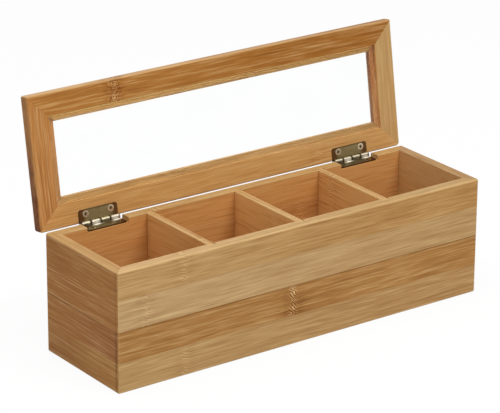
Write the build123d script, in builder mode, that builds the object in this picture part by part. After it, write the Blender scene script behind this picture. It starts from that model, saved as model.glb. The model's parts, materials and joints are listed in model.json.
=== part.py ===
from build123d import *
import os
from math import cos, radians, sin

# A long bamboo tea box with four equal compartments, shown with its lid open.
#
# The walls are mitred at the corners, and each is glued up from an upper and a lower board.
# The dividers stand in grooves, and the base is let into the bottom of the walls. The lid
# is a mitred frame, rebated on its inside for a clear pane. It turns on two small hinges,
# whose leaves close together in notches cut through the rim of the back wall.
#
# Sizes are in millimetres. The origin is the centre of the underside, +X runs to the right
# along the box, +Y to the back and +Z up.

# Walls
box_length = 340.0
box_depth = 97.5
box_height = 95.5
wall_thickness = 9.5
seam_height = 48.5  # the glue line between the lower and the upper boards
corner_radius = 2.0  # the upright outer corners
rim_radius = 1.5  # the outer edges of the rim
rim_inner_chamfer = 0.5  # the inner edges of the rim
foot_chamfer = 0.8  # the outer edges along the bottom

# Base
base_thickness = 4.5
base_rebate = 4.5  # how far the base reaches in under the walls
base_clearance = 0.2

# Dividers
divider_count = 3
divider_thickness = 6.0
divider_groove = 3.0  # the depth of the grooves in the front and back walls
divider_clearance = 0.1
divider_radius = 1.0  # the two long top edges

# Lid
open_angle = 99.0  # from closed to leaning back against the hinges' stop
lid_thickness = 7.5
lid_side_overhang = 2.0
lid_front_overhang = 5.0  # the finger lip
lid_back_overhang = 1.6  # over the barrels of the hinges
lid_front_corner_radius = 1.5
lid_back_corner_radius = 3.0
lid_chamfer = 1.0  # all round, on the inside and the outside
lid_gap = 0.2  # between the rim and the closed lid
frame_width = 22.8  # of each rail and stile
window_chamfer = 0.6  # the edges of the window on the outside of the lid
rebate_width = 5.0
rebate_depth = 3.0
pane_thickness = 2.0
pane_clearance = 0.3

# Hinges
hinge_inset = 50.0  # from the end of the box to the middle of the hinge
leaf_length = 34.4
leaf_reach = 8.8  # from the back of the wall to the free edge of the leaf
leaf_thickness = 1.0
leaf_corner_radius = 2.0
leaf_gap = 0.1  # from the edge of a leaf to the other leaf's knuckles
knuckle_count = 4  # shared by the two leaves, in turn
knuckle_gap = 0.5
pin_radius = 0.95
pin_clearance = 0.05
notch_clearance = 1.5  # beside the leaves

# Screws
screw_spacing = 22.6
screw_setback = 5.4  # from the back of the wall
head_radius = 2.7
seat_clearance = 0.03
slot_length = 2.8
slot_width = 0.8
slot_depth = 0.7
pilot_clearance = 0.05
box_screw_length = 12.0
lid_screw_length = 5.5

# Worked out from the sizes above
inner_length = box_length - 2 * wall_thickness
inner_depth = box_depth - 2 * wall_thickness
compartment_length = (inner_length - divider_count * divider_thickness) / (divider_count + 1)
divider_pitch = compartment_length + divider_thickness
lid_length = box_length + 2 * lid_side_overhang
lid_depth = box_depth + lid_front_overhang + lid_back_overhang
window_length = lid_length - 2 * frame_width
window_depth = lid_depth - 2 * frame_width
barrel_radius = pin_radius + pin_clearance + leaf_thickness
hinge_centre = box_length / 2 - hinge_inset
shank_radius = head_radius - leaf_thickness  # the head's cone runs through the leaf at 45 degrees
notch_depth = 2 * barrel_radius - lid_gap
notch_length = leaf_length + 2 * notch_clearance
knuckle_length = (leaf_length - (knuckle_count - 1) * knuckle_gap) / knuckle_count

# The hinge axis lies just behind the back wall. The barrel touches the planes of the wall's
# back, of the notch's floor and of the closed lid's inside.
axis_y = box_depth / 2 + barrel_radius
axis_z = box_height + lid_gap - barrel_radius


def axis_plane(x, angle):
    """A plane on the hinge axis for what lies `angle` degrees up from the closed lid.

    Its y axis points away from the hinge, towards the lid's front, and its z axis to the
    inside of the lid.
    """
    towards_inside = (0, -sin(radians(angle)), -cos(radians(angle)))
    return Plane(origin=(x, axis_y, axis_z), x_dir=(1, 0, 0), z_dir=towards_inside)


def box_leaf_plane(x):
    """The same for a leaf on the box, which is a lid leaf turned end for end."""
    return Plane(origin=(x, axis_y, axis_z), x_dir=(-1, 0, 0), z_dir=(0, 0, 1))


# The lid's own plane at the level of its outside face, midway along and midway from back to front
lid_axis = axis_plane(0, open_angle)
lid_middle = (0, barrel_radius - lid_back_overhang + lid_depth / 2)
lid_outside = lid_axis.offset(-barrel_radius - lid_thickness)


def mitred_side(side, length, depth, width):
    """The corners of one side of a frame, cut at 45 degrees.

    The near side is the one towards the plane's -Y, and the far side the one towards +Y.
    """
    outer_x, outer_y = length / 2, depth / 2
    inner_x, inner_y = outer_x - width, outer_y - width
    if side in ("near", "far"):
        sign = 1 if side == "far" else -1
        return [
            (-outer_x, sign * outer_y),
            (outer_x, sign * outer_y),
            (inner_x, sign * inner_y),
            (-inner_x, sign * inner_y),
        ]
    sign = 1 if side == "right" else -1
    return [
        (sign * outer_x, -outer_y),
        (sign * outer_x, outer_y),
        (sign * inner_x, inner_y),
        (sign * inner_x, -inner_y),
    ]


def wall_board(side, bottom, top):
    """One board of a wall, from the whole ring of walls between two heights."""
    height = top - bottom
    with BuildPart() as board:
        with BuildSketch(Plane.XY.offset(bottom)):
            RectangleRounded(box_length, box_depth, corner_radius)
        extrude(amount=height)
        if bottom == 0:
            chamfer(board.faces().sort_by(Axis.Z)[0].edges(), foot_chamfer)
        if top == box_height:
            fillet(board.faces().sort_by(Axis.Z)[-1].edges(), rim_radius)
        with BuildSketch(Plane.XY.offset(bottom)):
            Rectangle(inner_length, inner_depth)
        extrude(amount=height, mode=Mode.SUBTRACT)
        if top == box_height:
            rim = board.faces().sort_by(Axis.Z)[-1]
            chamfer(rim.inner_wires()[0].edges(), rim_inner_chamfer)
        if bottom == 0:
            with BuildSketch(Plane.XY):
                Rectangle(inner_length + 2 * base_rebate, inner_depth + 2 * base_rebate)
            extrude(amount=base_thickness, mode=Mode.SUBTRACT)
        with BuildSketch(Plane.XY.offset(bottom)):
            Polygon(mitred_side(side, box_length, box_depth, wall_thickness))
        extrude(amount=height, mode=Mode.INTERSECT)
    return board.part


def divider_cutter():
    """The room that the dividers need, up through the grooves in the walls."""
    with BuildPart() as cutter:
        with BuildSketch(Plane.XY.offset(base_thickness)):
            with GridLocations(divider_pitch, 0, divider_count, 1):
                Rectangle(divider_thickness + 2 * divider_clearance, inner_depth + 2 * divider_groove)
        extrude(amount=box_height - base_thickness)
    return cutter.part


def pilot_holes(plane, length):
    """The two holes that a leaf's screws turn into, from the face that the leaf lies on."""
    with BuildPart() as holes:
        with BuildSketch(plane.offset(-barrel_radius)):
            with Locations((0, barrel_radius + screw_setback)):
                with GridLocations(screw_spacing, 0, 2, 1):
                    Circle(shank_radius + pilot_clearance)
        extrude(amount=-length - pilot_clearance)
    return holes.part


def hinge_leaf(plane):
    """A leaf: a flat plate, and every second knuckle of the barrel rolled round the pin."""
    plate_start = barrel_radius + leaf_gap
    plate_end = barrel_radius + leaf_reach
    with BuildPart() as leaf:
        with BuildSketch(plane.offset(-barrel_radius)) as plate:
            with Locations((0, (plate_start + plate_end) / 2)):
                Rectangle(leaf_length, plate_end - plate_start)
            free_corners = plate.vertices().sort_by(Axis(plane.origin, plane.y_dir))[-2:]
            fillet(free_corners, leaf_corner_radius)
        extrude(amount=leaf_thickness)
        for slot in range(0, knuckle_count, 2):
            knuckle_start = slot * (knuckle_length + knuckle_gap) - leaf_length / 2
            knuckle_plane = Plane(
                origin=plane.origin + plane.x_dir * knuckle_start, x_dir=plane.y_dir, z_dir=plane.x_dir
            )
            with BuildSketch(knuckle_plane):
                Circle(barrel_radius)
                with Locations((plate_start / 2, leaf_thickness / 2 - barrel_radius)):
                    Rectangle(plate_start, leaf_thickness)
                Circle(pin_radius + pin_clearance, mode=Mode.SUBTRACT)
            extrude(amount=knuckle_length)
        with Locations(plane.offset(leaf_thickness - barrel_radius)):
            with Locations((0, barrel_radius + screw_setback)):
                with GridLocations(screw_spacing, 0, 2, 1):
                    CounterSinkHole(
                        shank_radius + seat_clearance,
                        head_radius + seat_clearance,
                        depth=2 * leaf_thickness,
                        counter_sink_angle=90,
                    )
    return leaf.part


def hinge_pin(plane):
    """The pin through all the knuckles."""
    end_plane = Plane(
        origin=plane.origin - plane.x_dir * leaf_length / 2, x_dir=plane.y_dir, z_dir=plane.x_dir
    )
    with BuildPart() as pin:
        with BuildSketch(end_plane):
            Circle(pin_radius)
        extrude(amount=leaf_length)
    return pin.part


def leaf_screws(plane, length):
    """The two countersunk screws of a leaf, flush with it, with crossed slots."""
    head_top = leaf_thickness - barrel_radius
    shank_end = -barrel_radius - length
    with BuildPart() as screws:
        for x in (-screw_spacing / 2, screw_spacing / 2):
            centre = plane.from_local_coords(Vector(x, barrel_radius + screw_setback, 0))
            profile_plane = Plane(origin=centre, x_dir=plane.x_dir, z_dir=-plane.y_dir)
            with BuildSketch(profile_plane):
                with BuildLine():
                    Polyline(
                        (0, head_top),
                        (0, shank_end),
                        (shank_radius, shank_end),
                        (shank_radius, -barrel_radius),
                        (head_radius, head_top),
                        close=True,
                    )
                make_face()
            revolve(axis=Axis(centre, plane.z_dir))
        with BuildSketch(plane.offset(head_top - slot_depth)):
            with Locations((0, barrel_radius + screw_setback)):
                with GridLocations(screw_spacing, 0, 2, 1):
                    Rectangle(slot_length, slot_width)
                    Rectangle(slot_width, slot_length)
        extrude(amount=2 * slot_depth, mode=Mode.SUBTRACT)
    return screws.part


def lid_member(side):
    """One rail or stile of the lid, from the whole frame with its rebate."""
    with BuildPart() as member:
        with BuildSketch(lid_outside) as outline:
            with Locations(lid_middle):
                Rectangle(lid_length, lid_depth)
            to_front = Axis(lid_outside.origin, lid_outside.y_dir)
            fillet(outline.vertices().sort_by(to_front)[:2], lid_back_corner_radius)
            fillet(outline.vertices().sort_by(to_front)[-2:], lid_front_corner_radius)
        extrude(amount=lid_thickness)
        faces = member.faces().sort_by(Axis(lid_outside.origin, lid_outside.z_dir))
        chamfer(faces[0].edges() + faces[-1].edges(), lid_chamfer)
        with BuildSketch(lid_outside):
            with Locations(lid_middle):
                Rectangle(window_length, window_depth)
        extrude(amount=lid_thickness, mode=Mode.SUBTRACT)
        outside = member.faces().sort_by(Axis(lid_outside.origin, lid_outside.z_dir))[0]
        chamfer(outside.inner_wires()[0].edges(), window_chamfer)
        with BuildSketch(lid_outside.offset(lid_thickness - rebate_depth)):
            with Locations(lid_middle):
                Rectangle(window_length + 2 * rebate_width, window_depth + 2 * rebate_width)
        extrude(amount=rebate_depth, mode=Mode.SUBTRACT)
        with BuildSketch(lid_outside):
            with Locations(lid_middle):
                Polygon(mitred_side(side, lid_length, lid_depth, frame_width))
        extrude(amount=lid_thickness, mode=Mode.INTERSECT)
    return member.part


def save(part, name):
    part.label = name
    export_step(part, f"parts/{name}.step")


os.makedirs("parts", exist_ok=True)

# Ends
for side in ("left", "right"):
    save(wall_board(side, 0, seam_height), f"{side}_lower_board")
    save(wall_board(side, seam_height, box_height), f"{side}_upper_board")

# Front wall
with BuildPart() as front_lower_board:
    add(wall_board("near", 0, seam_height))
    add(divider_cutter(), mode=Mode.SUBTRACT)
save(front_lower_board.part, "front_lower_board")

with BuildPart() as front_upper_board:
    add(wall_board("near", seam_height, box_height))
    add(divider_cutter(), mode=Mode.SUBTRACT)
save(front_upper_board.part, "front_upper_board")

# Back wall, notched through its rim for the hinges
with BuildPart() as back_lower_board:
    add(wall_board("far", 0, seam_height))
    add(divider_cutter(), mode=Mode.SUBTRACT)
save(back_lower_board.part, "back_lower_board")

with BuildPart() as back_upper_board:
    add(wall_board("far", seam_height, box_height))
    add(divider_cutter(), mode=Mode.SUBTRACT)
    with BuildSketch(Plane.XY.offset(box_height)):
        with Locations((0, (box_depth - wall_thickness) / 2)):
            with GridLocations(2 * hinge_centre, 0, 2, 1):
                Rectangle(notch_length, wall_thickness)
    extrude(amount=-notch_depth, mode=Mode.SUBTRACT)
    for x in (-hinge_centre, hinge_centre):
        add(pilot_holes(box_leaf_plane(x), box_screw_length), mode=Mode.SUBTRACT)
save(back_upper_board.part, "back_upper_board")

# Base, flush with the bottom of the walls
with BuildPart() as base_panel:
    with BuildSketch(Plane.XY):
        base_growth = 2 * (base_rebate - base_clearance)
        Rectangle(inner_length + base_growth, inner_depth + base_growth)
    extrude(amount=base_thickness)
save(base_panel.part, "base_panel")

# Dividers, flush with the rim
for number in range(1, divider_count + 1):
    with BuildPart() as divider:
        with BuildSketch(Plane.XY.offset(base_thickness)):
            with Locations(((number - (divider_count + 1) / 2) * divider_pitch, 0)):
                Rectangle(divider_thickness, inner_depth + 2 * (divider_groove - divider_clearance))
        extrude(amount=box_height - base_thickness)
        fillet(divider.faces().sort_by(Axis.Z)[-1].edges().filter_by(Axis.Y), divider_radius)
    save(divider.part, f"divider_{number}")

# Lid, whose near side in its own plane is the one along the hinges
save(lid_member("left"), "lid_left_stile")
save(lid_member("right"), "lid_right_stile")
save(lid_member("far"), "lid_front_rail")

with BuildPart() as lid_back_rail:
    add(lid_member("near"))
    for x in (-hinge_centre, hinge_centre):
        add(pilot_holes(axis_plane(x, open_angle), lid_screw_length), mode=Mode.SUBTRACT)
save(lid_back_rail.part, "lid_back_rail")

with BuildPart() as window_pane:
    with BuildSketch(lid_outside.offset(lid_thickness - rebate_depth)):
        with Locations(lid_middle):
            pane_growth = 2 * (rebate_width - pane_clearance)
            Rectangle(window_length + pane_growth, window_depth + pane_growth)
    extrude(amount=pane_thickness)
save(window_pane.part, "window_pane")

# Hinges
for side, x in (("left", -hinge_centre), ("right", hinge_centre)):
    lid_leaf_plane = axis_plane(x, open_angle)
    save(hinge_leaf(box_leaf_plane(x)), f"{side}_hinge_box_leaf")
    save(hinge_leaf(lid_leaf_plane), f"{side}_hinge_lid_leaf")
    save(hinge_pin(lid_leaf_plane), f"{side}_hinge_pin")
    save(leaf_screws(box_leaf_plane(x), box_screw_length), f"{side}_hinge_box_screws")
    save(leaf_screws(lid_leaf_plane, lid_screw_length), f"{side}_hinge_lid_screws")
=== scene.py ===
import json
import math
from collections import namedtuple
from functools import cached_property

import bpy
from mathutils import Matrix, Vector

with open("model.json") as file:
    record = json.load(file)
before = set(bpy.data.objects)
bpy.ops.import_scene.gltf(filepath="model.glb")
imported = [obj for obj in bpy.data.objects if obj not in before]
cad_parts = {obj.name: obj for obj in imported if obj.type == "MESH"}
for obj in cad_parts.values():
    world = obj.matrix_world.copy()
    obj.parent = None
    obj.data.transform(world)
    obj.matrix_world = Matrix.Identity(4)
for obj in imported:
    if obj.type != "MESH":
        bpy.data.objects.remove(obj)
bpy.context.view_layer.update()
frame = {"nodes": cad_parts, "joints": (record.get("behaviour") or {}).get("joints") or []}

MM = 0.001  # in metres: pieces are described in mm, and the studio in metres


# ---------------------------------------------------------------- directions
# The lid is modelled open. Turned by the joint's range it lies on the box, with its front edge towards -Y.

hinge = next(joint for joint in frame["joints"] if joint["name"] == "lid_hinge")
hinge_at = Vector(hinge["pos_m"])
opened = Matrix.Rotation(-math.radians(hinge["range_deg"][1]), 3, Vector(hinge["axis"]))

RIGHT = Vector((1, 0, 0))
BACK = Vector((0, 1, 0))
UP = Vector((0, 0, 1))
LID_FRONT = opened @ -BACK  # from the hinges to the lid's front edge
LID_INSIDE = opened @ -UP  # out of the face that looks into the box


def span(names, axis):
    """The lowest and the highest millimetre that these CAD nodes reach along an axis."""
    reach = [vertex.co.dot(axis) for name in names for vertex in frame["nodes"][name].data.vertices]
    return min(reach) / MM, max(reach) / MM


# ---------------------------------------------------------------- node trees

NOISE_GAIN = 3.2  # because Blender's noise, about 0.5, seldom comes near 0 or 1
SEED_STEP = 1000.0  # how far apart in the noise the places of two seeds are


class Value:
    """A number that varies over a surface. Arithmetic on it adds math nodes to its shader."""

    def __init__(self, shader, socket):
        self.shader = shader
        self.socket = socket

    def __add__(self, other):
        return self.shader.math("ADD", self, other)

    def __sub__(self, other):
        return self.shader.math("SUBTRACT", self, other)

    def __rsub__(self, other):
        return self.shader.math("SUBTRACT", other, self)

    def __mul__(self, other):
        return self.shader.math("MULTIPLY", self, other)

    def __truediv__(self, other):
        return self.shader.math("DIVIDE", self, other)

    def __neg__(self):
        return self.shader.math("MULTIPLY", self, -1)

    def __abs__(self):
        return self.shader.math("ABSOLUTE", self)


class Shader:
    """The nodes of its owner, a material or a world."""

    def __init__(self, owner):
        owner.use_nodes = True
        self.owner = owner
        self.tree = owner.node_tree
        self.tree.nodes.clear()

    @cached_property
    def place(self):
        """A CAD node's own coordinates, which are the shared frame's, in metres."""
        return self.add("ShaderNodeTexCoord").outputs["Object"]

    def add(self, kind, inputs=(), **settings):
        """A new node, with what its inputs get, by their names or numbers."""
        node = self.tree.nodes.new(kind)
        for name, value in settings.items():
            setattr(node, name, value)
        for name, value in dict(inputs).items():
            self.give(node.inputs[name], value)
        return node

    def give(self, socket, value):
        """Link an input to an output, or set its own number or colour."""
        value = getattr(value, "socket", value)
        if isinstance(value, bpy.types.NodeSocket):
            self.tree.links.new(value, socket)
        else:
            socket.default_value = value

    def math(self, operation, *values):
        node = self.add("ShaderNodeMath", enumerate(values), operation=operation)
        return Value(self, node.outputs[0])

    def along(self, axis):
        """Millimetres along an axis of the shared frame."""
        node = self.add("ShaderNodeVectorMath", {0: self.place, 1: axis / MM}, operation="DOT_PRODUCT")
        return Value(self, node.outputs["Value"])

    def point(self, x, y, z=0):
        return self.add("ShaderNodeCombineXYZ", {0: x, 1: y, 2: z}).outputs[0]

    def noise(self, point, detail, roughness=0.5):
        """Noise about zero, mostly between -1 and 1, with one wave to a unit of the point."""
        inputs = {"Vector": point, "Scale": 1.0, "Detail": detail, "Roughness": roughness}
        node = self.add("ShaderNodeTexNoise", inputs)
        return (Value(self, node.outputs["Fac"]) - 0.5) * NOISE_GAIN

    def bell(self, distance, width):
        """1 where the distance is zero, falling off smoothly over the width."""
        ratio = distance / width
        return self.math("EXPONENT", -(ratio * ratio))

    def step(self, value, low, high):
        """0 below low, 1 above high and smooth between them."""
        node = self.add(
            "ShaderNodeMapRange",
            {"Value": value, "From Min": low, "From Max": high},
            interpolation_type="SMOOTHSTEP",
        )
        return Value(self, node.outputs["Result"])

    def mix(self, share, first, second, blend="MIX"):
        """The first colour with a share of the second, or with a share of what blending them gives."""
        node = self.add("ShaderNodeMix", data_type="RGBA", blend_type=blend, clamp_factor=True)
        for socket, value in ((node.inputs[0], share), (node.inputs[6], first), (node.inputs[7], second)):
            self.give(socket, value)
        return node.outputs[2]

    def finish(self, surface):
        """End a material's tree in this surface, and give back the material."""
        self.add("ShaderNodeOutputMaterial", {"Surface": surface})
        return self.owner


def colour(red, green, blue):
    """A colour written as it shows on a screen, from 0 to 255, for a node that takes light."""
    def light(part):  # the sRGB curve
        part /= 255
        return part / 12.92 if part <= 0.04045 else ((part + 0.055) / 1.055) ** 2.4
    return light(red), light(green), light(blue), 1.0


def new_shader(name):
    """A shader for a new material of this name."""
    return Shader(bpy.data.materials.new(name))


def dress(material, piece):
    mesh = frame["nodes"][piece].data
    mesh.materials.clear()
    mesh.materials.append(material)


# ---------------------------------------------------------------- bamboo

# A strip's width beside the other strips', its colours at the low and the high end of the grain, the place
# of its node in mm from the low end, how strongly the node and the dark grain show, and the node's tone: how
# much darker and broader than usual it is. Below zero, it is a little paler than its strip.
Strip = namedtuple("Strip", "width start end node mark grain tone", defaults=(-0.10,))

# A dark line in a board: the direction it is measured in (0 along the grain, 1 across), its place from the
# low end and its width in mm, its strength, and how much that rises towards the high end of the grain.
Line = namedtuple("Line", "direction place width strength rise", defaults=(0.0,))

DARK_GRAIN = (0.50, 0.33, 0.20, 1.0)  # what the darkest fibres do to their board's colour
# pale fibres, and the painted highlight along the edges
PALE_GRAIN_AND_HIGHLIGHT = colour(230, 200, 146)
DARK_JOINT_AND_SHADE = (0.20, 0.08, 0.03, 1.0)  # what an open joint, and painted shade beside corners, does to the colour

# Sizes in mm
GLUE_WIDTH = 0.25  # of the line between two strips
NODE_WIDTH = 3.6  # along the grain, of the ring where the cane was divided
NODE_SPREAD = 5.0  # what a tone of 1 adds to that
NODE_REACH = 17.0  # how far the grain beside it darkens
FLANK_PLACE = 1.7 * NODE_WIDTH  # from the ring's middle to the dark grain at each side of it
FLECK_PITCH = 2.1  # of the slanting flecks in the ring
FLECK_FIELD = 6.5  # how far across the grain the flecks lean one way
EDGE_WIDTH = 1.1  # how far the pale edges, partly wear and partly a painted highlight, reach
INNER_DEPTH = 0.8  # how deep in the wood the inner face's painted light, and the dark lines where pieces touch it, go
RIM_DEPTH = 0.9  # and the rim's
PLAIN_DEPTH = (1.0, 1.8)  # how deep a plain face goes, and where the strips under it start
MITRE_WIDTH = 0.28  # of the line along a closed mitre
MITRE_OPENS = (17.5, 22.5)  # from the outer edges, where a mitre starts to open and where it stands open
CONTACT_SHADE_WIDTH = 0.45  # of the dark line beside a piece that stands against the inner face, a joint with painted shade in the corner
GRAIN_DEPTH = 0.04  # of the open grain under the lacquer

# The first seeds of the pieces' noise
WALL_SEED = 1
BASE_SEED = 20
DIVIDER_SEED = 21
LID_SEED = 30
HINGE_SEED = 40


def bamboo(
    piece, along, across, outward, strips, seed, whole, mitre=None, gape=0.0,
    lines=(), touching=(), rim=None, inner=None, plain=None,
):
    """Laminated bamboo, its grain along one axis and its strips side by side across it, from the low side.

    Outward leads out of the main face, and the inner face is the one behind it: on the lid, its outside.
    whole: the nodes whose outside edges are worn pale and carry a painted highlight
    mitre: the direction that the mitres at the ends cross, 1 across or 2 outward
    gape: how many mm further the mitres stand open at their inner ends
    lines: the dark lines in the piece
    touching: where other pieces stand against the inner face, in mm from the low end of the grain
    rim: the two colours of the sawn edge at the high side
    inner: what the three parts of the colour are multiplied by on the inner face, a painted light that
    lightens it
    plain: the strip whose colours the whole inner face has
    """
    shader = new_shader(piece)
    axes = (along, across, outward)
    low, high = zip(*(span(whole, axis) for axis in axes))
    u, v, w = places = [shader.along(axis) for axis in axes]
    shift = SEED_STEP * seed

    # Each strip has its own colour, node and grain, which change at the glue lines.
    drift = shader.step(u, low[0], high[0])

    def drifting(start, end):
        """A colour that changes from the low to the high end of the grain."""
        return shader.mix(drift, colour(*start), colour(*end))

    edge, top = span([piece], across)
    scale = (top - edge) / sum(strip.width for strip in strips)
    first = strips[0]
    body = drifting(first.start, first.end)
    node_at, mark, grain, tone = first.node, first.mark, first.grain, first.tone
    glue = 0.0
    for before, strip in zip(strips, strips[1:]):
        edge += before.width * scale
        past = shader.math("GREATER_THAN", v, edge)
        body = shader.mix(past, body, drifting(strip.start, strip.end))
        node_at = past * (strip.node - before.node) + node_at
        mark = past * (strip.mark - before.mark) + mark
        grain = past * (strip.grain - before.grain) + grain
        tone = past * (strip.tone - before.tone) + tone
        glue = shader.bell(v - edge, GLUE_WIDTH) + glue

    if plain:
        depth = w - low[2]
        body = shader.mix(1.0 - shader.step(depth, *PLAIN_DEPTH), body, drifting(plain.start, plain.end))
    inner_face = shader.bell(w - span([piece], outward)[0], INNER_DEPTH)
    # Painted light: the inner face is lightened for the light that the inside of the box lacks.
    if inner:
        body = shader.mix(inner_face, body, (*inner, 1.0), "MULTIPLY")
    if rim:
        body = shader.mix(shader.bell(high[1] - v, RIM_DEPTH) * 0.9, body, drifting(*rim))

    # The node is a ring of slanting flecks, which lean to one side and then to the other.
    from_node = u - low[0] - node_at + shader.noise(shader.point(v * 0.16, w * 0.16, shift), 2) * 1.8
    spread = tone * NODE_SPREAD
    ring = shader.bell(from_node, spread + NODE_WIDTH) * mark
    beside = shader.bell(from_node, NODE_REACH) * mark
    flank = shader.bell(abs(from_node) - FLANK_PLACE, NODE_WIDTH) * mark
    leaning = v + shader.noise(shader.point(v * 0.1, w * 0.1, shift), 1) * 2.0
    field = shader.math("PINGPONG", leaning, FLECK_FIELD)
    curl = shader.noise(shader.point(u * 0.3, v * 0.4, shift), 1) * (spread + 0.6)
    slant = field + from_node * mark * 0.75 + curl
    breaks = shader.noise(shader.point(u * 0.35, v * 0.6, w * 0.6 + shift), 2)
    flecks = shader.math("SINE", slant * (2 * math.pi / FLECK_PITCH)) * (breaks * 0.6 + 0.7)

    # The fibres run straight, wander a little and twist where they cross a node.
    wander = shader.noise(shader.point(u * 0.007, v * 0.02, w * 0.02 + shift), 2) * 1.6
    twist = shader.noise(shader.point(u * 0.16, v * 0.25, w * 0.25 + shift), 3)
    across_fibres = v + wander + twist * (ring + beside * 0.25) * 2.2
    through_fibres = w + wander

    def fibres(length, thickness, detail, roughness=0.55):
        """Noise drawn out along the grain, with waves of this length and thickness in mm."""
        place = (u / length, across_fibres / thickness, through_fibres / thickness + shift)
        return shader.noise(shader.point(*place), detail, roughness)

    clouds = fibres(160.0, 22.0, 2)
    bands = fibres(150.0, 6.0, 2)
    threads = fibres(75.0, 2.6, 4, 0.65)
    hairs = fibres(34.0, 1.3, 3, 0.6)
    scores = shader.step(fibres(120.0, 1.5, 2), 0.30, 0.90)
    streaks = shader.step(fibres(120.0, 2.4, 3), 0.35, 1.05)
    veins = shader.bell(fibres(240.0, 9.0, 2), 0.07) * shader.step(fibres(60.0, 12.0, 1), -0.4, 0.6)
    pores = shader.step(fibres(11.0, 0.5, 2), 0.45, 1.1)

    shade = (threads * 0.28 + hairs * 0.52 + scores * 0.40) * (grain * 0.6 + 0.75)
    shade = shade + clouds * 0.11 + bands * 0.06 + pores * 0.10 - 0.05
    shade = shade + (streaks * 0.50 + veins * 0.45) * grain
    shade = shade + beside * (threads * 0.30 + hairs * 0.50 + streaks * 0.45 + 0.10) + flank * 0.15
    shade = shade + ring * (flecks * (mark + 0.45) + breaks * tone * 2.5 + tone)
    body = shader.mix(shade, body, DARK_GRAIN, "MULTIPLY")
    body = shader.mix(shade * -0.55, body, PALE_GRAIN_AND_HIGHLIGHT)

    # Pale rubbed edges, partly wear and partly a painted highlight along the arrises, where two of the three
    # distances from the outer faces are small.
    inward = [(high[i] - low[i]) / 2 - abs(x - (low[i] + high[i]) / 2) for i, x in enumerate(places)]
    far = shader.math("MAXIMUM", shader.math("MAXIMUM", inward[0], inward[1]), inward[2])
    wear_and_highlight = shader.bell(inward[0] + inward[1] + inward[2] - far, EDGE_WIDTH)
    body = shader.mix(wear_and_highlight * 0.30, body, PALE_GRAIN_AND_HIGHLIGHT)

    # Joints: glue between the strips, the mitres, dark lines, and what stands against the inner face. Part
    # of it is painted shade: the lines beside the rounded corner and in the corners where pieces meet.
    ragged = shader.noise(shader.point(u * 0.06, v * 0.06, w * 0.06 + shift), 3) * 0.35 + 0.65
    joints_and_shade = glue * 0.10
    if mitre:
        opening = shader.step(inward[0], *MITRE_OPENS)
        joint = shader.bell(inward[0] - inward[mitre], opening * gape + MITRE_WIDTH)
        joints_and_shade = joints_and_shade + joint * (opening * 0.6 + 0.30)
    for line in lines:
        distance = places[line.direction] - low[line.direction] - line.place
        strength = drift * line.rise + line.strength
        joints_and_shade = joints_and_shade + shader.bell(distance + wander * 0.12, line.width) * strength
    # a dark joint with painted shade in the corner where another piece meets the inner face
    for place in touching:
        joints_and_shade = joints_and_shade + shader.bell(u - low[0] - place, CONTACT_SHADE_WIDTH) * inner_face * 0.55
    joints_and_shade = joints_and_shade * ragged
    body = shader.mix(joints_and_shade, body, DARK_JOINT_AND_SHADE, "MULTIPLY")

    height = threads * 0.35 + hairs * 0.25 - pores * 0.5 + ring * (flecks * 0.5 + 1.0) - joints_and_shade * 2.0
    bump = shader.add("ShaderNodeBump", {"Height": height, "Strength": 1.0, "Distance": GRAIN_DEPTH * MM})
    surface = shader.add(
        "ShaderNodeBsdfPrincipled",
        {
            "Base Color": body,
            "Roughness": threads * 0.04 + pores * 0.08 - wear_and_highlight * 0.08 + 0.48,
            "Specular IOR Level": 0.10,
            "Coat Weight": 0.03,
            "Coat Roughness": 0.35,
            "Normal": bump.outputs[0],
        },
    )
    dress(shader.finish(surface.outputs[0]), piece)


# The walls' directions, along and outward
SIDES = {"front": (RIGHT, -BACK), "back": (RIGHT, BACK), "left": (BACK, -RIGHT), "right": (BACK, RIGHT)}
WALLS = [f"{side}_{level}_board" for side in SIDES for level in ("upper", "lower")]
DIVIDERS = ["divider_1", "divider_2", "divider_3"]
LID = ["lid_front_rail", "lid_back_rail", "lid_left_stile", "lid_right_stile"]


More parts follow.
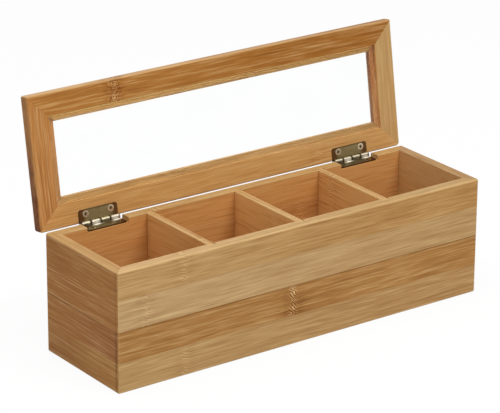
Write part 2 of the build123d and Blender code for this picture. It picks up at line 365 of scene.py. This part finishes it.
def box_walls():
    seam = span(["front_lower_board"], UP)[1]
    low_end = span(WALLS, RIGHT)[0]
    faces = [face - low_end for divider in DIVIDERS for face in span([divider], RIGHT)]
    strips = {
        "front_upper_board": (
            Strip(24.5, (175, 142, 98), (168, 133, 86), 25, 0.45, 0.35),
            Strip(22.5, (172, 136, 86), (163, 120, 66), 59, 0.45, 0.35),
        ),
        "front_lower_board": (
            Strip(24.0, (168, 133, 85), (163, 124, 76), 59, 0.45, 0.45),
            Strip(24.5, (156, 111, 58), (160, 115, 61), 158, 1.00, 0.80, -0.02),
        ),
        "back_upper_board": (
            Strip(24.5, (178, 136, 86), (176, 134, 84), 231, 0.60, 0.30),
            Strip(22.5, (182, 140, 88), (180, 138, 86), 96, 0.50, 0.30),
        ),
        "back_lower_board": (
            Strip(24.0, (174, 136, 88), (170, 132, 84), 142, 0.70, 0.40),
            Strip(24.5, (164, 120, 74), (168, 126, 78), 290, 0.80, 0.50),
        ),
        "left_upper_board": (
            Strip(24.5, (153, 100, 42), (154, 101, 43), 150, 0.50, 0.45),
            Strip(22.5, (155, 103, 45), (148, 96, 36), 130, 0.50, 0.30),
        ),
        "left_lower_board": (
            Strip(24.0, (160, 112, 51), (150, 98, 41), -20, 0.50, 0.25),
            Strip(24.5, (145, 90, 36), (155, 103, 45), 160, 0.50, 0.40),
        ),
        "right_upper_board": (
            Strip(24.5, (172, 134, 86), (168, 130, 82), 30, 0.60, 0.30),
            Strip(22.5, (168, 130, 86), (166, 128, 84), 150, 0.50, 0.40),
        ),
        "right_lower_board": (
            Strip(24.0, (162, 120, 72), (164, 124, 76), 160, 0.50, 0.50),
            Strip(24.5, (170, 132, 84), (168, 128, 80), 71, 0.80, 0.30),
        ),
    }
    rims = {
        "front": ((188, 153, 107), (171, 137, 88)),
        "back": ((176, 141, 92), (170, 132, 82)),
        "left": ((177, 139, 88), (181, 143, 93)),
        "right": ((156, 119, 75), (162, 125, 81)),
    }
    # Painted light: how much each wall's inner face is lightened.
    inner = {
        "front": (1.4, 1.2, 1.0),
        "back": (1.35, 1.15, 0.95),
        "left": (1.6, 1.5, 1.4),
        "right": (1.6, 1.6, 1.5),
    }
    seam_line = Line(1, seam, 0.75, 0.60, 0.50)
    corner_shade_line = Line(0, 2.6, 1.15, 0.75)  # painted shade beside the rounded front corner
    lines = {
        # painted shade beside the rounded front corner, like the lower board's
        "left_upper_board": (Line(0, 2.5, 0.90, 0.35),),
        "front_lower_board": (seam_line,),
        "back_lower_board": (seam_line,),
        "left_lower_board": (corner_shade_line, seam_line),
        "right_lower_board": (seam_line,),
    }
    for seed, piece in enumerate(WALLS, WALL_SEED):
        side = piece.split("_")[0]
        along, outward = SIDES[side]
        touching = faces if along == RIGHT else ()
        bamboo(
            piece, along, UP, outward, strips[piece], seed, WALLS, mitre=2,
            lines=lines.get(piece, ()), touching=touching, rim=rims[side], inner=inner[side],
        )


def base_and_dividers():
    base = (
        Strip(1, (182, 144, 98), (178, 138, 92), 60, 0.50, 0.30),
        Strip(1, (176, 134, 86), (180, 140, 94), 250, 0.60, 0.40),
        Strip(1, (184, 148, 102), (180, 142, 96), 170, 0.50, 0.20),
        Strip(1, (172, 130, 82), (176, 134, 88), 300, 0.70, 0.50),
    )
    bamboo("base_panel", RIGHT, BACK, -UP, base, BASE_SEED, ["base_panel"])
    divider = (
        Strip(1, (206, 156, 98), (210, 160, 102), 30, 0.50, 0.40),
        Strip(1, (212, 162, 104), (208, 156, 98), 66, 0.60, 0.30),
        Strip(1, (204, 152, 94), (208, 158, 100), 12, 0.50, 0.50),
    )
    sawn = ((176, 136, 86), (170, 130, 80))
    for seed, piece in enumerate(DIVIDERS, DIVIDER_SEED):
        turn = seed % len(divider)
        strips = divider[turn:] + divider[:turn]
        # painted light: each divider's left face is lightened
        bamboo(piece, BACK, UP, RIGHT, strips, seed, [piece], rim=sawn, inner=(1.25, 1.25, 1.15))


def lid_frame():
    # Each piece's widest strip is its plain face, and the others are in the rebate beside the window.
    left, right = span(LID, RIGHT)
    strips = {
        "lid_front_rail": (
            Strip(1.7, (166, 128, 78), (154, 118, 64), 205, 0.70, 0.30),
            Strip(1.7, (196, 147, 80), (170, 124, 60), 205, 0.70, 0.30),
            # painted light: a bright strip on the rebate's floor, where its step casts shade
            Strip(1.6, (255, 215, 128), (240, 186, 98), 205, 0.70, 0.30),
            Strip(17.8, (165, 112, 52), (146, 92, 31), 77, 1.00, 0.70, 0.34),
        ),
        "lid_back_rail": (
            Strip(17.8, (190, 140, 81), (190, 143, 85), 262, 0.40, 0.35),
            Strip(5.0, (166, 124, 67), (158, 118, 64), 120, 0.30, 0.20),
        ),
        "lid_left_stile": (
            Strip(17.8, (178, 122, 67), (171, 116, 60), 140, 0.30, 0.70),
            Strip(5.0, (174, 124, 70), (172, 120, 66), 140, 0.30, 0.30),
        ),
        "lid_right_stile": (
            # painted shade: the dark red wall of the window's opening
            Strip(0.4, (135, 72, 14), (128, 66, 10), 130, 0.30, 0.40),
            Strip(4.4, (166, 112, 60), (146, 92, 46), 130, 0.30, 0.40),
            # painted light on the rebate's step wall, which lies in shade
            Strip(0.4, (211, 161, 97), (211, 161, 97), 130, 0.30, 0.40),
            Strip(17.6, (178, 138, 87), (174, 138, 88), 140, 0.30, 0.15),
        ),
    }
    lines = {
        "lid_left_stile": (
            Line(1, 0.0, 1.4, 1.50, -1.00),
            Line(1, 7.0, 0.6, 0.35),
            Line(1, 12.5, 0.6, 0.35),
        ),
        "lid_right_stile": (Line(1, right - left, 0.8, 0.40),),
    }
    gapes = {"lid_front_rail": 1.6, "lid_left_stile": 0.5}
    rims = {"lid_front_rail": ((188, 150, 104), (152, 106, 62))}
    for seed, piece in enumerate(LID, LID_SEED):
        axes = (RIGHT, LID_FRONT) if piece.endswith("rail") else (LID_FRONT, RIGHT)
        bamboo(
            piece, *axes, LID_INSIDE, strips[piece], seed, LID, mitre=1, gape=gapes.get(piece, 0.0),
            lines=lines.get(piece, ()), rim=rims.get(piece),
            plain=max(strips[piece], key=lambda strip: strip.width),
        )


# ---------------------------------------------------------------- metal and glass

PATINA = colour(104, 74, 44)
# bare brass where wear shows it, and the painted highlight on the knuckles
BARE_BRASS_AND_HIGHLIGHT = colour(244, 234, 206)
# a painted reflection
GLARE = colour(250, 244, 226)
# grime, and the painted shade in the knuckles' gaps and under the barrel
GRIME_AND_SHADE = colour(52, 36, 22)
BOX_OLIVE = colour(120, 106, 74)
LID_OLIVE_LIGHTENED = colour(152, 142, 102)  # painted lighter than the box leaf's olive, to offset the darker wood that it reflects
LEAF_ROUGHNESS = 0.34
PIN_ROUGHNESS = 0.32
POLISH = 0.16  # what polishing takes off those
GLARE_SHARE = 0.8  # of the metal that a glare, a painted reflection, hides

KNUCKLES = 4  # of a hinge, its two leaves' taken together
HIGHLIT_SIDE = (UP * 0.90 - BACK * 0.44).normalized()  # of the barrel, where a highlight is painted

# Sizes in mm. A leaf's reach is how far it is from the hinge's axis.
KNUCKLE_GAP = 0.5
KNUCKLE_REACH = (1.6, 2.4)  # where the knuckles end and where the plate starts
HIGHLIGHT_DEPTH = (1.65, 1.95)  # from the axis to where the painted highlight starts and to where it is full
WORN_FROM = (2.0, 8.0)  # from a leaf's ends, where its patina starts to be worn and where it is thin
LEAF_EDGE = 0.8  # how wide the patina is left dark along the leaf's long edge
SHINE_FROM = (0.4, 1.6)  # from a gap, where a knuckle starts to shine and where it shines in full
GAP_GRIME_AND_SHADE = 0.7  # how far the grime and painted shade in a gap spread
GLARE_REACH = 3.1  # of the painted reflections on the plate, in front of the other leaf's knuckles
GLARE_LENGTH = 3.8
GLARE_WIDTH = 1.4
SCRATCH_DEPTH = 0.02


def metal(shader, body, gloss, roughness, height, glare=0.0):
    """The surface of a piece of brass, smoother where it is polished, and pale and less metallic where a
    glare, a painted reflection, lies.
    """
    bump = shader.add("ShaderNodeBump", {"Height": height, "Strength": 1.0, "Distance": SCRATCH_DEPTH * MM})
    return shader.add(
        "ShaderNodeBsdfPrincipled",
        {
            "Base Color": body,
            "Metallic": 1.0 - glare * GLARE_SHARE,
            "Roughness": roughness - gloss * POLISH,
            "Normal": bump.outputs[0],
        },
    ).outputs[0]


def hinge_leaf(piece, away, olive, bright, seed):
    """A stamped leaf with a brown patina, worn in the middle of its plate, its knuckles worn bright with a
    painted highlight.

    Its plate has painted reflections in front of the other leaf's knuckles: those in bright, counted from 0
    at the left.
    """
    shader = new_shader(piece)
    left, right = span([piece], RIGHT)
    axis_at = hinge_at.dot(away) / MM
    x = shader.along(RIGHT) - left
    reach = shader.along(away) - axis_at
    height = shader.along(away.cross(RIGHT))
    outward = shader.along(HIGHLIT_SIDE) - hinge_at.dot(HIGHLIT_SIDE) / MM
    shift = SEED_STEP * seed
    pitch = (right - left + KNUCKLE_GAP) / KNUCKLES

    patches = shader.noise(shader.point(x * 0.20, reach * 0.30, height * 0.30 + shift), 4, 0.6)
    specks = shader.noise(shader.point(x * 1.5, reach * 1.5, height * 1.5 + shift), 3, 0.6)
    brushed = shader.noise(shader.point(x * 0.4, reach * 6.0, height * 6.0 + shift), 2)
    from_ends = shader.math("MINIMUM", x, (right - left) - x)
    middle = shader.step(from_ends, *WORN_FROM)
    edge = shader.bell(span([piece], away)[1] - axis_at - reach, LEAF_EDGE)
    worn = middle * 0.85 + patches * 0.25 + specks * 0.12 - edge * 0.5
    body = shader.mix(worn, PATINA, olive)
    from_gap = shader.math("PINGPONG", x + KNUCKLE_GAP / 2, pitch / 2)
    knuckle = 1.0 - shader.step(reach, *KNUCKLE_REACH)
    # Knuckles worn bright, with a painted highlight along the barrel's upper side.
    highlit = shader.step(outward, *HIGHLIGHT_DEPTH)
    shine = knuckle * shader.step(from_gap, *SHINE_FROM)
    body = shader.mix(shine * (highlit * 0.70 + patches * 0.20 + specks * 0.20 + 0.20), body, BARE_BRASS_AND_HIGHLIGHT)
    # Painted reflections on the plate, in front of the other leaf's knuckles.
    glare = 0.0
    for number in bright:
        from_middle = x - (number + 0.5) * pitch
        wear_and_highlight = shader.bell(from_middle, GLARE_LENGTH) * shader.bell(reach - GLARE_REACH, GLARE_WIDTH)
        glare = wear_and_highlight * (specks * 0.25 + 1.30) + glare
    body = shader.mix(glare, body, GLARE)
    # Grime, with painted shade in the knuckles' gaps and on the barrel's underside.
    grime_and_shade = knuckle * (shader.bell(from_gap, GAP_GRIME_AND_SHADE) * 0.8 + (1.0 - highlit) * 0.50)
    grime_and_shade = grime_and_shade + edge * 0.4 + shader.step(specks, 0.7, 1.3) * 0.3
    body = shader.mix(grime_and_shade, body, GRIME_AND_SHADE)
    surface = metal(shader, body, knuckle, LEAF_ROUGHNESS, specks + brushed * 0.4, glare)
    dress(shader.finish(surface), piece)


def leaf_screws(piece, away, wear_and_ring_highlight, seed):
    """Two screws, their rim pale with wear and a painted highlight, round a middle that holds grime."""
    shader = new_shader(piece)
    left, right = span([piece], RIGHT)
    near, far = span([piece], away)
    radius = (far - near) / 2
    spacing = (right - left) / 2 - radius
    x = abs(shader.along(RIGHT) - (left + right) / 2) - spacing
    y = shader.along(away) - (near + far) / 2
    from_centre = shader.math("SQRT", x * x + y * y)
    specks = shader.noise(shader.point(x * 1.2, y * 1.2, SEED_STEP * seed), 3, 0.6)
    # The rim's painted highlight, partly wear.
    worn = shader.bell(from_centre - 0.82 * radius, 0.35 * radius)
    body = shader.mix(worn * wear_and_ring_highlight + specks * 0.2, BOX_OLIVE, BARE_BRASS_AND_HIGHLIGHT)
    body = shader.mix(shader.bell(from_centre, 0.30 * radius) * 0.4, body, GRIME_AND_SHADE)
    surface = metal(shader, body, worn, LEAF_ROUGHNESS, specks)
    dress(shader.finish(surface), piece)


def hinge_pin(piece, seed):
    """A turned pin, with patina and bright specks on the ends that show."""
    shader = new_shader(piece)
    x, y, z = (shader.along(axis) for axis in (RIGHT, BACK, UP))
    shift = SEED_STEP * seed
    specks = shader.noise(shader.point(x * 0.8, y * 0.8, z * 0.8 + shift), 3, 0.6)
    turned = shader.noise(shader.point(x * 5.0, 0, shift), 2)
    worn = specks * 0.4 + 0.4
    surface = metal(shader, shader.mix(worn, PATINA, BARE_BRASS_AND_HIGHLIGHT), worn, PIN_ROUGHNESS, turned)
    dress(shader.finish(surface), piece)


def hinges():
    for seed, side in enumerate(("left", "right"), HINGE_SEED):
        hinge_leaf(f"{side}_hinge_box_leaf", -BACK, BOX_OLIVE, bright=(1, 3), seed=seed)
        hinge_leaf(f"{side}_hinge_lid_leaf", LID_FRONT, LID_OLIVE_LIGHTENED, bright=(), seed=seed + 10)
        leaf_screws(f"{side}_hinge_box_screws", -BACK, wear_and_ring_highlight=0.3, seed=seed + 20)
        leaf_screws(f"{side}_hinge_lid_screws", LID_FRONT, wear_and_ring_highlight=0.8, seed=seed + 30)
        hinge_pin(f"{side}_hinge_pin", seed=seed + 40)


def clear_pane():
    """Clear acrylic with the faintest film on it, which lets the lamps' light through unchanged."""
    shader = new_shader("window_pane")
    x, y = shader.along(RIGHT), shader.along(LID_FRONT)
    film = shader.noise(shader.point(x * 0.02, y * 0.05), 3)
    acrylic = shader.add(
        "ShaderNodeBsdfPrincipled",
        {
            "Base Color": shader.mix(film * 0.5 + 0.5, colour(253, 255, 254), colour(255, 255, 255)),
            "Roughness": film * 0.004 + 0.008,
            "IOR": 1.30,
            "Transmission Weight": 1.0,
        },
    )
    clear = shader.add("ShaderNodeBsdfTransparent")
    rays = shader.add("ShaderNodeLightPath").outputs
    surface = shader.add("ShaderNodeMixShader", {0: rays["Is Shadow Ray"], 1: acrylic.outputs[0]})
    shader.give(surface.inputs[2], clear.outputs[0])
    dress(shader.finish(surface.outputs[0]), "window_pane")


# ---------------------------------------------------------------- studio

WHITE = (1.0, 1.0, 1.0, 1.0)
FLOOR_SIZE = 8.0
FLOOR_COLOUR = colour(236, 236, 236)
FLOOR_GLOW = 0.92  # how much of the floor is seen as plain white, the rest being its lit surface and shadow
SKY_LIGHT = 0.50  # how strongly the white surroundings light the object, where they are seen at 1
LAMP_TARGET = Vector((0, 0, 0.08))  # about the middle of the object
SEEN_RAYS = ("Is Camera Ray", "Is Glossy Ray", "Is Transmission Ray")


def seen(shader):
    """1 for what the camera, a reflection or a view through glass meets, and 0 for light on the object."""
    rays = shader.add("ShaderNodeLightPath").outputs
    direct, mirrored, through = (Value(shader, rays[name]) for name in SEEN_RAYS)
    return shader.math("MAXIMUM", shader.math("MAXIMUM", direct, mirrored), through)


def floor():
    shader = new_shader("studio_floor")
    diffuse = shader.add("ShaderNodeBsdfDiffuse", {"Color": FLOOR_COLOUR})
    glow = shader.add("ShaderNodeEmission", {"Color": WHITE, "Strength": 1.0})
    surface = shader.add("ShaderNodeMixShader", {0: seen(shader) * FLOOR_GLOW, 1: diffuse.outputs[0]})
    shader.give(surface.inputs[2], glow.outputs[0])
    bpy.ops.mesh.primitive_plane_add(size=FLOOR_SIZE, location=(0, 0, 0))
    plane = bpy.context.object
    plane.name = "studio_floor"
    plane.data.materials.append(shader.finish(surface.outputs[0]))


def sky():
    world = bpy.data.worlds.new("studio")
    bpy.context.scene.world = world
    shader = Shader(world)
    strength = seen(shader) * (1.0 - SKY_LIGHT) + SKY_LIGHT
    background = shader.add("ShaderNodeBackground", {"Color": WHITE, "Strength": strength})
    shader.add("ShaderNodeOutputWorld", {"Surface": background.outputs[0]})


def softbox(name, place, size, power):
    """A round lamp that faces the object, its place and diameter in metres and its power in watts."""
    lamp = bpy.data.lights.new(name, "AREA")
    lamp.shape = "DISK"
    lamp.size = size
    lamp.energy = power
    holder = bpy.data.objects.new(name, lamp)
    holder.location = place
    ahead = LAMP_TARGET - holder.location
    holder.rotation_euler = ahead.to_track_quat("-Z", "Y").to_euler()
    bpy.context.scene.collection.objects.link(holder)


def camera():
    """The photograph's view, from the front left and above."""
    azimuth, elevation, roll = (math.radians(angle) for angle in (36.104, 20.899, 0.372))
    distance = 2.0794
    target = Vector((-0.01695, 0, 0.09811))
    level = math.cos(elevation)
    ahead = Vector((math.sin(azimuth) * level, math.cos(azimuth) * level, -math.sin(elevation)))
    data = bpy.data.cameras.new("camera")
    data.sensor_width = 36.0
    data.lens = 196.8
    holder = bpy.data.objects.new("camera", data)
    holder.location = target - ahead * distance
    turn = ahead.to_track_quat("-Z", "Y").to_matrix() @ Matrix.Rotation(roll, 3, "Z")
    holder.rotation_euler = turn.to_euler()
    bpy.context.scene.collection.objects.link(holder)
    bpy.context.scene.camera = holder


box_walls()
base_and_dividers()
lid_frame()
hinges()
clear_pane()
floor()
sky()
softbox("key", (0.33, -1.43, 1.70), 1.2, 24)
softbox("top", (-0.45, -0.1, 1.95), 1.4, 18)
camera()
bpy.context.scene.view_settings.view_transform = "Standard"
